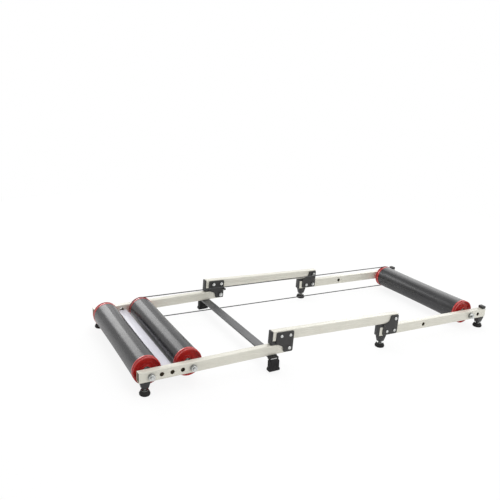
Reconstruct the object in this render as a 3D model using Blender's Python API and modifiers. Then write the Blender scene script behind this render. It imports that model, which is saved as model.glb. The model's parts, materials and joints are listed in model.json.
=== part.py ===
"""Folding three-roller bicycle trainer, unfolded and standing on its six feet.

Metres, +Z up. +X runs from the two rear rollers to the front one, +Y to the belt side.
The origin is on the floor, under the middle of the whole trainer.
"""
import math
from collections import namedtuple

import bmesh
import bpy
from mathutils import Matrix, Vector

for item in list(bpy.data.objects):
    bpy.data.objects.remove(item, do_unlink=True)

# Rails and how the three sections stand

clearance = 0.0003
rail_width = 0.020
rail_height = 0.030
rail_wall = 0.0015
rail_corner = 0.0022
rail_spacing = 0.452
stack_gap = 0.010
pivot_height = 0.0645
rear_tilt = math.radians(1.335)
middle_tilt = math.radians(-1.3)
front_tilt = math.radians(-0.42)
middle_length = 0.400
pivot_overhang = 0.013
tail_reach = 0.0567
rear_axle_back = 0.424
rear_rail_tail = 0.0335
front_rail_reach = 0.4225
front_axle_out = 0.349
roller_gap_holes = 4
hole_pitch = 0.030
front_inner_hole = 0.130
front_outer_hole = 0.3865

# Hinges

plate_thickness = 0.003
plate_back = 0.0465
plate_front = 0.0125
plate_inset = 0.0030
plate_neck = 0.0185
plate_throat_drop = 0.008
plate_waist_back = 0.003
plate_waist_drop = 0.011
plate_corner = 0.005
fixing_pitch = 0.030
fixing_hole_radius = 0.0032
pivot_radius = 0.0040
bolt_head_radius = 0.0064
bolt_head_height = 0.0042
bolt_dome = ((0, 1), (0.6, 0.84), (0.9, 0.45), (1, 0))  # shares of the head's radius and height
bolt_nut_radius = 0.0072
bolt_nut_height = 0.0060
bolt_tip = 0.0020

# Rollers and axles

drum_radius = 0.0396
drum_waist = 0.0013
drum_wall = 0.0040
drum_chamfer = 0.0010
roller_play = 0.012
cap_proud = 0.0007
cap_depth = 0.014
cap_web = 0.004
rim_width = 0.0031
rim_edge = 0.0009
dish_depth = 0.010
spigot_length = 0.012
spigot_wall = 0.0026
spigot_play = 0.0005
hub_wall = 0.0035
hub_recess = 0.0025
groove_setback = 0.0047
groove_depth = 0.0034
groove_half = 0.0030
groove_slope = 0.57
bearing_radius = 0.0110
bearing_width = 0.0090
bearing_recess = 0.0020
bearing_race = 0.0018
shield_recess = 0.0006
bearing_lip = 0.0030
axle_radius = 0.0050
axle_overhang = 0.015
axle_chamfer = 0.0008
nut_radius = 0.0098
nut_height = 0.0080
inner_nut_height = 0.0112
washer_radius = 0.0100
washer_height = 0.0015
spacer_radius = 0.0070

# End fittings and feet

cap_plate = 0.0040
pad_reach = 0.0120
plug_length = 0.026
short_plug_length = 0.015
bumper_length = 0.0150
bumper_neck_radius = 0.0035
rear_foot_inset = 0.0185
tail_foot_inset = 0.0157
front_foot_inset = 0.0165
rear_socket_width = 0.0285
socket_width = 0.029
socket_taper = 0.66
foot_height = 0.0142
foot_radius = 0.0152
foot_neck_radius = 0.0116
foot_shoulder = 0.0012
foot_flare_height = 0.0070
foot_flare_inset = 0.0005
foot_bulge_height = 0.0040
foot_edge_height = 0.0014
foot_edge_inset = 0.0006
foot_sole_inset = 0.0020
rear_screw_out = 0.0055
tail_screw_out = 0.0048
front_screw_out = 0.0028
stud_radius = 0.0039
stud_length = 0.0283
stud_play = 0.0007
stud_travel = 0.0040
neck_wall = 0.0012

# Crossbars, block feet, belt and its peg

bar_thickness = 0.005
bar_edge = 0.0006
dark_bar_width = 0.030
dark_bar_back = 0.0545
dark_bar_overhang = 0.013
pale_bar_width = 0.030
pale_bar_drop = 0.0040
block_depth = 0.0155
block_outreach = 0.003
block_neck_width = 0.0270
block_width = 0.0305
block_base_width = 0.0365
block_neck_height = 0.0050
block_base_height = 0.0100
block_base_rise = 0.0040
block_base_fall = 0.0020
block_base_taper = 0.0010
block_base_lean = 0.0006
block_corner = 0.0010
block_neck_corner = 0.0004
block_sleeve_wall = 0.0012
block_sleeve_lean = 0.0004
block_window_width = 0.022
block_window_height = 0.003
block_floor_gap = 0.005
belt_radius = 0.0017
belt_steps = 12
peg_radius = 0.0040
peg_length = 0.0175
peg_ahead = 0.008
peg_above = 0.0240

# How finely round forms are divided

roller_steps = 16
foot_steps = 12
bolt_steps = 10

# Sizes that follow from those above

rail_side = rail_spacing / 2
rail_inside = rail_side - rail_width / 2
rail_outside = rail_side + rail_width / 2
stack_pitch = rail_height + stack_gap
cap_radius = drum_radius + cap_proud
cap_face = rail_inside - roller_play
drum_half = cap_face - cap_depth
hub_radius = bearing_radius + hub_wall
groove_place = cap_face - groove_setback
groove_floor = cap_radius - groove_depth
axle_reach = rail_outside + axle_overhang
axle_hole_radius = axle_radius + clearance
pivot_hole_radius = pivot_radius + clearance
neck_radius = stud_radius + stud_play + neck_wall
rear_axle_at = -rear_axle_back
middle_axle_at = rear_axle_at + roller_gap_holes * hole_pitch
rear_end_at = rear_axle_at - rear_rail_tail
rear_foot_at = rear_end_at + rear_foot_inset
tail_foot_at = -tail_reach + tail_foot_inset
front_foot_at = front_rail_reach - front_foot_inset
bumper_at = front_rail_reach - bumper_length / 2

parts = bpy.data.collections.new("folding_roller_trainer")
cutters = bpy.data.collections.new("cutters")
for group in (parts, cutters):
    bpy.context.scene.collection.children.link(group)

upright = Matrix.Identity(4)
across = Matrix.Rotation(math.radians(90), 4, "X")
side_sign = {"right": -1, "left": 1}
outward = {"right": (math.radians(90), 0, 0), "left": (math.radians(-90), 0, 0)}

# Materials


def finish(name, colour, roughness, metallic):
    material = bpy.data.materials.new(name)
    material.use_nodes = True
    shader = material.node_tree.nodes["Principled BSDF"]
    shader.inputs["Base Color"].default_value = (*colour, 1.0)
    shader.inputs["Roughness"].default_value = roughness
    shader.inputs["Metallic"].default_value = metallic
    return material


cream_paint = finish("cream_paint", (0.66, 0.64, 0.56), 0.42, 0.0)
charcoal_plastic = finish("charcoal_plastic", (0.055, 0.055, 0.058), 0.38, 0.0)
red_plastic = finish("red_plastic", (0.42, 0.022, 0.024), 0.32, 0.0)
black_steel = finish("black_steel", (0.030, 0.030, 0.029), 0.45, 0.3)
black_plastic = finish("black_plastic", (0.022, 0.022, 0.023), 0.5, 0.0)
black_rubber = finish("black_rubber", (0.018, 0.018, 0.018), 0.8, 0.0)
grey_steel = finish("grey_steel", (0.16, 0.16, 0.17), 0.4, 0.5)
pale_steel = finish("pale_steel", (0.62, 0.61, 0.66), 0.35, 0.4)
bright_zinc = finish("bright_zinc", (0.62, 0.63, 0.64), 0.28, 1.0)
belt_rubber = finish("belt_rubber", (0.030, 0.030, 0.032), 0.65, 0.0)

# Objects: empties that carry the sections, pieces, and tools that cut or join them


def empty(name, parent=None, location=(0, 0, 0), pitch=0.0):
    frame = bpy.data.objects.new(name, None)
    frame.empty_display_size = 0.03
    frame.parent = parent
    frame.location = location
    frame.rotation_euler = (0, pitch, 0)
    parts.objects.link(frame)
    return frame


def place(name, mesh, material, parent, location=(0, 0, 0), rotation=(0, 0, 0)):
    piece = bpy.data.objects.new(name, mesh)
    parts.objects.link(piece)
    piece.parent = parent
    piece.location = location
    piece.rotation_euler = rotation
    if not mesh.materials:
        mesh.materials.append(material)
    return piece


def tool(name, mesh, parent, location=(0, 0, 0), rotation=(0, 0, 0)):
    piece = bpy.data.objects.new(name, mesh)
    cutters.objects.link(piece)
    piece.parent = parent
    piece.location = location
    piece.rotation_euler = rotation
    piece.hide_render = True
    piece.display_type = "WIRE"
    return piece


def combine(piece, other, operation):
    change = piece.modifiers.new(other.name, "BOOLEAN")
    change.operation = operation
    change.solver = "EXACT"
    change.object = other


def soften(piece, width):
    edge = piece.modifiers.new("edges", "BEVEL")
    edge.width = width
    edge.segments = 1


# Meshes: blocks, rods, flat outlines and turned profiles


def to_mesh(shape, name):
    mesh = bpy.data.meshes.new(name)
    shape.to_mesh(mesh)
    shape.free()
    return mesh


def block(name, size, centre, foot=1.0):
    """A box whose underside is foot times as large as its top."""
    shape = bmesh.new()
    middle = Vector(centre)
    bmesh.ops.create_cube(shape, size=1.0, matrix=Matrix.LocRotScale(middle, None, Vector(size)))
    under = [corner for corner in shape.verts if corner.co.z < middle.z]
    bmesh.ops.scale(shape, vec=(foot, foot, 1), space=Matrix.Translation(-middle), verts=under)
    return to_mesh(shape, name)


def rods(name, specs, turn=upright, sides=bolt_steps):
    """Separate rods in one mesh: (radius, length, centre) each, all turned the same way."""
    shape = bmesh.new()
    for radius, length, centre in specs:
        bmesh.ops.create_cone(shape, cap_ends=True, segments=sides, radius1=radius, radius2=radius,
                              depth=length, matrix=Matrix.Translation(centre) @ turn)
    return to_mesh(shape, name)


def fused(name, meshes):
    """One closed mesh made of solids that overlap."""
    pieces = [tool(name, mesh, None) for mesh in meshes]
    for other in pieces[1:]:
        combine(pieces[0], other, "UNION")
    graph = bpy.context.evaluated_depsgraph_get()
    whole = bpy.data.meshes.new_from_object(pieces[0].evaluated_get(graph))
    for piece in pieces:
        bpy.data.objects.remove(piece, do_unlink=True)
    return whole


def rounded(corners, steps=2):
    """A closed outline from (x, y, radius) corners, each turned into an arc."""
    points = []
    spots = [Vector(corner[:2]) for corner in corners]
    for i, here in enumerate(spots):
        radius = corners[i][2]
        back = (spots[i - 1] - here).normalized()
        ahead = (spots[(i + 1) % len(spots)] - here).normalized()
        half = back.angle(ahead) / 2
        reach = radius / math.tan(half)
        centre = here + (back + ahead).normalized() * (radius / math.sin(half))
        start, end = here + back * reach - centre, here + ahead * reach - centre
        points += [centre + start.lerp(end, k / steps).normalized() * radius for k in range(steps + 1)]
    return points


def round_hole(x, y, radius):
    turn = 2 * math.pi / bolt_steps
    return [(x + radius * math.cos(k * turn), y + radius * math.sin(k * turn)) for k in range(bolt_steps)]


def flat(name, loops, thickness, turn):
    """An outline with its holes, given half its thickness on each side of its own plane."""
    curve = bpy.data.curves.new(name, "CURVE")
    curve.dimensions = "2D"
    curve.fill_mode = "BOTH"
    curve.extrude = thickness / 2
    for loop in loops:
        spline = curve.splines.new("POLY")
        spline.points.add(len(loop) - 1)
        for point, spot in zip(spline.points, loop):
            point.co = (spot[0], spot[1], 0.0, 1.0)
        spline.use_cyclic_u = True
    drawing = bpy.data.objects.new(name, curve)
    cutters.objects.link(drawing)
    graph = bpy.context.evaluated_depsgraph_get()
    shape = bmesh.new()
    shape.from_mesh(bpy.data.meshes.new_from_object(drawing.evaluated_get(graph)))
    bpy.data.objects.remove(drawing, do_unlink=True)
    bmesh.ops.remove_doubles(shape, verts=shape.verts, dist=0.00001)
    bmesh.ops.recalc_face_normals(shape, faces=shape.faces)
    shape.transform(turn)
    return to_mesh(shape, name)


def profile_mesh(name, profile, ring=False):
    """The (radius, height) points of a turned shape, running down its outer side."""
    edges = [(i, i + 1) for i in range(len(profile) - 1)]
    if ring:
        edges.append((len(profile) - 1, 0))
    mesh = bpy.data.meshes.new(name)
    mesh.from_pydata([(radius, 0, height) for radius, height in profile], edges, [])
    return mesh


def spin(piece, steps):
    turning = piece.modifiers.new("turning", "SCREW")
    turning.steps = steps
    turning.render_steps = steps
    turning.use_merge_vertices = True
    turning.merge_threshold = 0.00001
    return piece


# The three sections: the middle one carries both hinges, and the other two turn on it

Section = namedtuple("Section", "frame tilt pivot_height rail_line")
upper_pivot_height = (pivot_height + stack_pitch * math.cos(middle_tilt)
                      + middle_length * math.sin(middle_tilt))
middle_frame = empty("middle_frame", None, (0, 0, pivot_height), -middle_tilt)
rear_hinge = empty("rear_hinge_axis", middle_frame, (0, 0, 0), middle_tilt - rear_tilt)
front_hinge = empty("front_hinge_axis", middle_frame, (middle_length, 0, stack_pitch),
                    middle_tilt - front_tilt)
rear = Section(rear_hinge, rear_tilt, pivot_height, 0.0)
middle = Section(middle_frame, middle_tilt, pivot_height, stack_pitch)
front = Section(front_hinge, front_tilt, upper_pivot_height, -stack_pitch)

bpy.context.view_layer.update()
back_end = (rear_hinge.matrix_world @ Vector((rear_axle_at, 0, 0))).x - cap_radius
front_end = (front_hinge.matrix_world @ Vector((front_rail_reach, 0, -rail_height / 2))).x
middle_frame.location.x = -(back_end + front_end) / 2
bpy.context.view_layer.update()


def floor_under(section, out):
    """The floor below a place along a section, as a height in the section's own frame."""
    return -(section.pivot_height + out * math.sin(section.tilt)) / math.cos(section.tilt)


# Rails: rectangular steel tube, drilled across for bolts and axles and along its edges for necks


def tube(name, back, ahead):
    w, h = rail_width / 2, rail_height / 2
    outline = rounded([(-w, -h, rail_corner), (w, -h, rail_corner),
                       (w, h, rail_corner), (-w, h, rail_corner)])
    w, h = w - rail_wall, h - rail_wall
    bore = [(-w, -h), (w, -h), (w, h), (-w, h)]
    along = Matrix.Rotation(math.radians(90), 4, "Y") @ Matrix.Rotation(math.radians(90), 4, "Z")
    return flat(name, [outline, bore], ahead - back, Matrix.Translation(((back + ahead) / 2, 0, 0)) @ along)


def rails(name, section, back, ahead, cross_holes, foot_holes=(), bumper_holes=()):
    """A left and a right rail: (place, radius) holes go across both, the others through one edge."""
    line = section.rail_line
    drill = tool(name + "_drill", rods("drill", [(radius, 2 * rail_spacing, (out, 0, line))
                                                 for out, radius in cross_holes], across), section.frame)
    edge = rail_height / 2 - rail_wall / 2
    necks = [(neck_radius + clearance, -edge, out) for out in foot_holes]
    necks += [(bumper_neck_radius + clearance, edge, out) for out in bumper_holes]
    mesh = tube(name, back, ahead)
    for side, sign in side_sign.items():
        y = sign * rail_side
        rail = place(f"{name}_{side}", mesh, cream_paint, section.frame, (0, y, line))
        combine(rail, drill, "DIFFERENCE")
        if necks:
            bores = rods("neck_holes", [(radius, 2 * rail_wall, (out, y, line + z))
                                        for radius, z, out in necks])
            combine(rail, tool(f"{name}_neck_holes_{side}", bores, section.frame), "DIFFERENCE")


axle_row = [(rear_axle_at + k * hole_pitch, axle_hole_radius) for k in range(roller_gap_holes + 1)]
fixing_row = [(-fixing_pitch, fixing_hole_radius), (0, fixing_hole_radius)]
rails("rear_rail", rear, rear_end_at, pivot_overhang, [*axle_row, (0, pivot_hole_radius)], [rear_foot_at])
rails("middle_rail", middle, -tail_reach, middle_length + pivot_overhang,
      [*fixing_row, (middle_length, pivot_hole_radius)])
rails("front_rail", front, -tail_reach, front_rail_reach,
      [*fixing_row, *[(out, axle_hole_radius) for out in (front_inner_hole, front_axle_out, front_outer_hole)]],
      [tail_foot_at, front_foot_at], [bumper_at])

# Hinge plates: each is bolted to one rail of the stack, and the other rail turns on its pivot


def plate(name, up):
    """One plate about its pivot, with the rail that it is fixed to above (up = 1) or below (-1)."""
    bolted_edge = stack_pitch + rail_height / 2 - plate_inset
    pivot_edge = -rail_height / 2 + plate_inset
    throat = stack_pitch - rail_height / 2 - plate_throat_drop
    waist = (-plate_neck - plate_waist_back, throat - plate_waist_drop, 2 * plate_corner)
    corners = [(-plate_back, bolted_edge, plate_corner), (plate_front, bolted_edge, plate_corner),
               (plate_front, pivot_edge, plate_corner), (-plate_neck, pivot_edge, plate_corner),
               waist, (-plate_back, throat, plate_corner / 2)]
    holes = [round_hole(0, 0, pivot_hole_radius), round_hole(0, up * stack_pitch, fixing_hole_radius),
             round_hole(-fixing_pitch, up * stack_pitch, fixing_hole_radius)]
    outline = [(spot.x, up * spot.y) for spot in rounded(corners)]
    return flat(name, [outline, *holes], plate_thickness, across)


def hinge(name, frame, up):
    """Two plates a side, and a bolt through them: domed head outside, hex nut inside."""
    mesh = plate(name + "_plate", up)
    outside = rail_outside + clearance
    inside = rail_inside - clearance
    head = outside + plate_thickness + clearance
    nut_end = inside - plate_thickness - clearance - bolt_nut_height
    dome = [(bolt_head_radius * out, head + bolt_head_height * rise) for out, rise in bolt_dome]
    shank = [(pivot_radius, head), (pivot_radius, nut_end - bolt_tip), (0, nut_end - bolt_tip)]
    bolt_profile = profile_mesh(name + "_pivot_bolt", dome + shank)
    nut = rods(name + "_nut", [(bolt_nut_radius, bolt_nut_height, (0, 0, nut_end + bolt_nut_height / 2))],
               sides=6)
    for side, sign in side_sign.items():
        place(f"{name}_plate_outer_{side}", mesh, black_steel, frame,
              (0, sign * (outside + plate_thickness / 2), 0))
        place(f"{name}_plate_inner_{side}", mesh, black_steel, frame,
              (0, sign * (inside - plate_thickness / 2), 0))
        bolt = place(f"{name}_pivot_bolt_{side}", bolt_profile, bright_zinc, frame, rotation=outward[side])
        spin(bolt, bolt_steps)
        combine(bolt, tool(f"{name}_nut_{side}", nut, frame, rotation=outward[side]), "UNION")


hinge("rear_hinge", middle_frame, 1)
hinge("front_hinge", front_hinge, -1)

# Rollers: a waisted drum on two moulded caps, each with a belt groove, a dished face and a bearing


def drum_profile():
    bore = drum_radius - drum_wall
    shoulder = drum_radius - drum_chamfer
    outside = [(drum_radius - drum_waist * (1 - s * s), s * (drum_half - drum_chamfer))
               for s in (1.0, 0.5, 0.0, -0.5, -1.0)]
    return profile_mesh("drum", [(shoulder, drum_half), *outside, (shoulder, -drum_half),
                                 (bore, -drum_half), (bore, drum_half)], ring=True)


def cap_profile():
    start = drum_half + clearance
    dish = cap_face - dish_depth
    back = dish - cap_web
    spigot = drum_radius - drum_wall - spigot_play
    hub_face = cap_face - hub_recess
    shelf = hub_face - bearing_recess - bearing_width - clearance
    seat = bearing_radius + 2 * clearance
    lip = seat - bearing_lip
    bank = groove_half * groove_slope
    return profile_mesh("roller_cap", [
        (seat, hub_face), (hub_radius, hub_face), (hub_radius, dish),
        (cap_radius - 2 * rim_width, dish), (cap_radius - rim_width, cap_face),
        (cap_radius - rim_edge, cap_face), (cap_radius, cap_face - rim_edge),
        (cap_radius, groove_place + groove_half), (groove_floor, groove_place + groove_half - bank),
        (groove_floor, groove_place - groove_half + bank), (cap_radius, groove_place - groove_half),
        (cap_radius, start), (spigot, start), (spigot, start - spigot_length),
        (spigot - spigot_wall, start - spigot_length), (spigot - spigot_wall, back), (hub_radius, back),
        (lip, shelf - cap_web), (lip, shelf), (seat, shelf)], ring=True)


def bearing_profile():
    face = cap_face - hub_recess - bearing_recess
    shield = face - shield_recess
    bore = axle_radius + clearance
    race = bearing_radius - bearing_race
    return profile_mesh("bearing", [
        (bore, shield), (race, shield), (race, face), (bearing_radius, face),
        (bearing_radius, face - bearing_width), (bore, face - bearing_width)], ring=True)


drum, roller_cap, bearing = drum_profile(), cap_profile(), bearing_profile()


def roller(name, section, out):
    axis = empty(name + "_axis", section.frame, (out, 0, section.rail_line))
    spin(place(name + "_drum", drum, charcoal_plastic, axis, rotation=outward["left"]), roller_steps)
    for side in side_sign:
        spin(place(f"{name}_cap_{side}", roller_cap, red_plastic, axis, rotation=outward[side]), roller_steps)
        spin(place(f"{name}_bearing_{side}", bearing, bright_zinc, axis, rotation=outward[side]), bolt_steps)
    return axis


# Axles: a rod through both rails with, from each end, a nut, a washer, a lock nut and a spacer

washer_in = rail_outside + clearance
washer_out = washer_in + washer_height
lock_nut_out = rail_inside - clearance
lock_nut_in = lock_nut_out - inner_nut_height
spacer_in = cap_face - hub_recess - bearing_recess + clearance


def axle_profile():
    half = [(0, axle_reach), (axle_radius - axle_chamfer, axle_reach), (axle_radius, axle_reach - axle_chamfer),
            (axle_radius, washer_out), (washer_radius, washer_out), (washer_radius, washer_in),
            (axle_radius, washer_in), (axle_radius, lock_nut_in), (spacer_radius, lock_nut_in),
            (spacer_radius, spacer_in), (axle_radius, spacer_in)]
    return profile_mesh("axle", [*half, *[(radius, -height) for radius, height in reversed(half)]])


def axle_nuts():
    return rods("axle_nuts", [(nut_radius, height, (0, 0, sign * (start + height / 2)))
                              for start, height in ((washer_out, nut_height), (lock_nut_in, inner_nut_height))
                              for sign in (-1, 1)], sides=6)


axle, nuts = axle_profile(), axle_nuts()
roller_axes = {}
for end, section, out in (("rear", rear, rear_axle_at), ("middle", rear, middle_axle_at),
                          ("front", front, front_axle_out)):
    roller_axes[end] = roller(end + "_roller", section, out)
    spot = (out, 0, section.rail_line)
    bar = spin(place(end + "_axle", axle, bright_zinc, section.frame, spot, outward["left"]), bolt_steps)
    combine(bar, tool(end + "_axle_nuts", nuts, section.frame, spot, outward["left"]), "UNION")

# End fittings: moulded plugs with the rest pads, bumpers and foot sockets that they carry

plug_width = rail_width - 2 * rail_wall - 2 * clearance
plug_height = rail_height - 2 * rail_wall - 2 * clearance
rail_edge = rail_height / 2 + clearance


def span(name, x, z, width, foot=1.0):
    """A block from its (low, high) x and z, centred on the rail."""
    size = (x[1] - x[0], width, z[1] - z[0])
    return block(name, size, ((x[0] + x[1]) / 2, 0, (z[0] + z[1]) / 2), foot)


def plug(back, ahead):
    return span("plug", (back, ahead), (-plug_height / 2, plug_height / 2), plug_width)


def socket(section, out, screw_out, width):
    """The tapered block that a foot screws up into, and the neck that joins it to its plug."""
    low = floor_under(section, out) - section.rail_line + foot_height + screw_out
    holder = block("socket", (width, rail_width, -rail_edge - low), (out, 0, (low - rail_edge) / 2), socket_taper)
    neck = rods("neck", [(neck_radius, plug_height, (out, 0, -rail_edge))])
    return [holder, neck]


def end_cap(height_low, height_high):
    return span("end_cap", (-tail_reach - clearance - cap_plate, -tail_reach - clearance),
                (height_low, height_high), rail_width)


def pad(z_low, z_high):
    return span("pad", (-tail_reach - clearance - cap_plate, -tail_reach + pad_reach), (z_low, z_high), rail_width)


def fit_pair(name, mesh, section, bore=None):
    for side, sign in side_sign.items():
        spot = (0, sign * rail_side, section.rail_line)
        piece = place(f"{name}_{side}", mesh, black_plastic, section.frame, spot)
        if bore:
            combine(piece, bore[side], "DIFFERENCE")


def feet(name, section, out, screw_out):
    """A left and a right foot, upright on the floor, and the bores that their studs screw into."""
    top = foot_height + stud_length
    profile = profile_mesh(name, [
        (0, top), (stud_radius, top), (stud_radius, foot_height), (foot_neck_radius - foot_shoulder, foot_height),
        (foot_neck_radius, foot_height - foot_shoulder), (foot_radius - foot_flare_inset, foot_flare_height),
        (foot_radius, foot_bulge_height), (foot_radius - foot_edge_inset, foot_edge_height),
        (foot_radius - foot_sole_inset, 0), (0, 0)])
    bores = {}
    for side, sign in side_sign.items():
        spot = (out, sign * rail_side, floor_under(section, out))
        base = empty(f"{name}_{side}_axis", section.frame, spot, section.tilt)
        spin(place(f"{name}_{side}", profile, black_rubber, base), foot_steps)
        bore = rods("stud_bore", [(stud_radius + stud_play, top + stud_travel, (0, 0, (top + stud_travel) / 2))])
        bores[side] = tool(f"{name}_bore_{side}", bore, base)
    return bores


rear_over_middle = math.sin(rear_tilt - middle_tilt)
front_under_middle = math.sin(front_tilt - middle_tilt)
pad_edge = tail_reach - pad_reach
front_pad_top = rail_height / 2 + stack_gap + pad_edge * front_under_middle - clearance
middle_pad_low = -rail_height / 2 - stack_gap - pad_edge * rear_over_middle + clearance
plug_start = -tail_reach - clearance - cap_plate / 2

fit_pair("rear_end_fitting",
         fused("rear_end_fitting", [plug(rear_end_at, rear_end_at + plug_length),
                                    *socket(rear, rear_foot_at, rear_screw_out, rear_socket_width)]),
         rear, feet("rear_foot", rear, rear_foot_at, rear_screw_out))
fit_pair("middle_tail_fitting",
         fused("middle_tail_fitting", [end_cap(middle_pad_low, rail_height / 2), pad(middle_pad_low, -rail_edge),
                                       plug(plug_start, -tail_reach + short_plug_length)]), middle)
fit_pair("front_tail_fitting",
         fused("front_tail_fitting", [end_cap(-rail_height / 2, front_pad_top), pad(rail_edge, front_pad_top),
                                      plug(plug_start, -tail_reach + plug_length),
                                      *socket(front, tail_foot_at, tail_screw_out, socket_width)]),
         front, feet("centre_foot", front, tail_foot_at, tail_screw_out))
bumper_top = rail_height / 2 + stack_gap - clearance
bumper = span("bumper", (bumper_at - bumper_length / 2, front_rail_reach), (rail_edge, bumper_top), rail_width)
bumper_neck = rods("bumper_neck", [(bumper_neck_radius, stack_gap, (bumper_at, 0, rail_edge))])
fit_pair("front_end_fitting",
         fused("front_end_fitting", [plug(front_rail_reach - plug_length, front_rail_reach), bumper_neck, bumper,
                                     *socket(front, front_foot_at, front_screw_out, socket_width)]),
         front, feet("front_foot", front, front_foot_at, front_screw_out))

# Crossbars of the rear section: a dark one under both rails, and a pale one between them

dark_bar_reach = rail_outside + dark_bar_overhang
dark_bar_top = -rail_height / 2 - clearance
dark_bar = place("dark_crossbar", block("dark_crossbar", (dark_bar_width, 2 * dark_bar_reach, bar_thickness),
                                        (0, 0, 0)),
                 grey_steel, rear_hinge, (-dark_bar_back, 0, dark_bar_top - bar_thickness / 2))
pale_bar = place("pale_crossbar", block("pale_crossbar", (pale_bar_width, 2 * (rail_inside - clearance),
                                                          bar_thickness), (0, 0, 0)),
                 pale_steel, rear_hinge, (rear_axle_at + 2 * hole_pitch, 0, -pale_bar_drop))
for bar in (dark_bar, pale_bar):
    soften(bar, bar_edge)

# Block feet: moulded rubber pushed on to the ends of the dark crossbar, just clear of the floor. Each has a
# sleeve round the bar, with a window that shows the bar's end


def block_foot():
    sleeve_play = clearance + block_sleeve_wall
    top = dark_bar_top + sleeve_play
    shelf = dark_bar_top - bar_thickness - sleeve_play
    sleeve = dark_bar_width / 2 + sleeve_play
    bottom = floor_under(rear, -dark_bar_back) + block_floor_gap
    ledge = shelf - block_neck_height
    base_top = bottom + block_base_height
    base = block_base_width / 2
    right = [(base - block_base_taper, bottom, block_corner), (base, bottom + block_base_rise, block_corner),
             (base - block_base_lean, base_top - block_base_fall, block_corner),
             (block_width / 2, base_top, block_corner), (block_width / 2, ledge, block_corner),
             (block_neck_width / 2, ledge, block_neck_corner), (block_neck_width / 2, shelf, block_neck_corner),
             (sleeve, shelf + block_sleeve_lean, block_corner), (sleeve, top, block_corner)]
    left = [(-x, z, radius) for x, z, radius in reversed(right)]
    return flat("block_foot", [rounded([*right, *left], 1)], block_depth, across)


rubber_block = block_foot()
bar_seat = block("bar_seat", (dark_bar_width + 2 * clearance, 2 * (dark_bar_reach + clearance),
                              bar_thickness + 2 * clearance), (0, 0, 0))
bar_window = block("bar_window", (block_window_width, 2 * (dark_bar_reach + 2 * block_outreach),
                                  block_window_height), (0, 0, 0))
for side, sign in side_sign.items():
    y = sign * (dark_bar_reach + block_outreach - block_depth / 2)
    foot = place("block_foot_" + side, rubber_block, black_rubber, rear_hinge, (-dark_bar_back, y, 0))
    for cut in (bar_seat, bar_window):
        combine(foot, tool(f"{cut.name}_{side}", cut, rear_hinge, dark_bar.location), "DIFFERENCE")

# Drive belt: a round cord in the left-hand grooves of the middle and front rollers


def belt_route():
    """Half a turn round each roller, in the middle section's frame."""
    bpy.context.view_layer.update()
    to_frame = middle_frame.matrix_world.inverted()
    radius = groove_floor + belt_radius + 2 * clearance
    ends = [to_frame @ roller_axes[end].matrix_world.translation for end in ("middle", "front")]
    slope = math.atan2(ends[1].z - ends[0].z, ends[1].x - ends[0].x)
    points = []
    for centre, start in zip(ends, (math.pi / 2, -math.pi / 2)):
        for k in range(belt_steps + 1):
            angle = slope + start + math.pi * k / belt_steps
            points.append((centre.x + radius * math.cos(angle), groove_place,
                           centre.z + radius * math.sin(angle)))
    return points


route = belt_route()
belt = bpy.data.curves.new("drive_belt", "CURVE")
belt.dimensions = "3D"
belt.bevel_depth = belt_radius
belt.bevel_resolution = 2
loop = belt.splines.new("POLY")
loop.points.add(len(route) - 1)
for point, spot in zip(loop.points, route):
    point.co = (*spot, 1.0)
loop.use_cyclic_u = True
belt.materials.append(belt_rubber)
drive_belt = bpy.data.objects.new("drive_belt", belt)
drive_belt.parent = middle_frame
parts.objects.link(drive_belt)

# Belt peg: stands inward from the left rear hinge and keeps the upper run off the crossbar

peg_end = rail_inside - 2 * clearance - plate_thickness
peg = rods("belt_peg", [(peg_radius, peg_length, (peg_ahead, peg_end - peg_length / 2, peg_above))], across)
place("belt_peg", peg, black_steel, middle_frame)
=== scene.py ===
import json
import math

import bmesh
import bpy
from mathutils import Matrix, Vector


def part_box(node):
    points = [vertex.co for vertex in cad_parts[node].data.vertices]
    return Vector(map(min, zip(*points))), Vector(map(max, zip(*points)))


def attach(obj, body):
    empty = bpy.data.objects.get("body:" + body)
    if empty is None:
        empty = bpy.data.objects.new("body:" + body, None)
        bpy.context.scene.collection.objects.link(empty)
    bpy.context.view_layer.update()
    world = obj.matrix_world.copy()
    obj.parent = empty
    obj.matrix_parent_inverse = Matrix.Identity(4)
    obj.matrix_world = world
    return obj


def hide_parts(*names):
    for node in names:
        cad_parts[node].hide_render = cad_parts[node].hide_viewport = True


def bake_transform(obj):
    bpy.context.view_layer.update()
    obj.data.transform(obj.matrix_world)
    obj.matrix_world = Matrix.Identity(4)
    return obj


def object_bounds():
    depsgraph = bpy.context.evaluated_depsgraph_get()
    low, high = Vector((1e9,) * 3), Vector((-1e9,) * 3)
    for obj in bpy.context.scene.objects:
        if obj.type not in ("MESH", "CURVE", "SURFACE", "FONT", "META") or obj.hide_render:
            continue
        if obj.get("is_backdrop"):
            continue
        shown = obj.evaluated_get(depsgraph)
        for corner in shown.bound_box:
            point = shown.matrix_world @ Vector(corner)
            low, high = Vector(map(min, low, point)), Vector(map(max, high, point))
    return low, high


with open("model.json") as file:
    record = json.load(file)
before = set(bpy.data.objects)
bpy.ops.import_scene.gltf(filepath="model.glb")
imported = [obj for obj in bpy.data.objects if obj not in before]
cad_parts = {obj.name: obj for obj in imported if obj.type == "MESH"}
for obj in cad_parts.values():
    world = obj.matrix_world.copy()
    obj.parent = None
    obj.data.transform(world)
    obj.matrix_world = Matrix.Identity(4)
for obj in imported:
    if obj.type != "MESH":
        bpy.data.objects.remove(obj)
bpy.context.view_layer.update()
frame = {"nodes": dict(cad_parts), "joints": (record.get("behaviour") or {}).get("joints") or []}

scene = bpy.context.scene
shift = Matrix.Translation
jointPlace = {joint["name"]: Vector(joint["pos_m"]) for joint in frame["joints"] if "pos_m" in joint}
sideSigns = {"right": -1, "left": 1}
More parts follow.
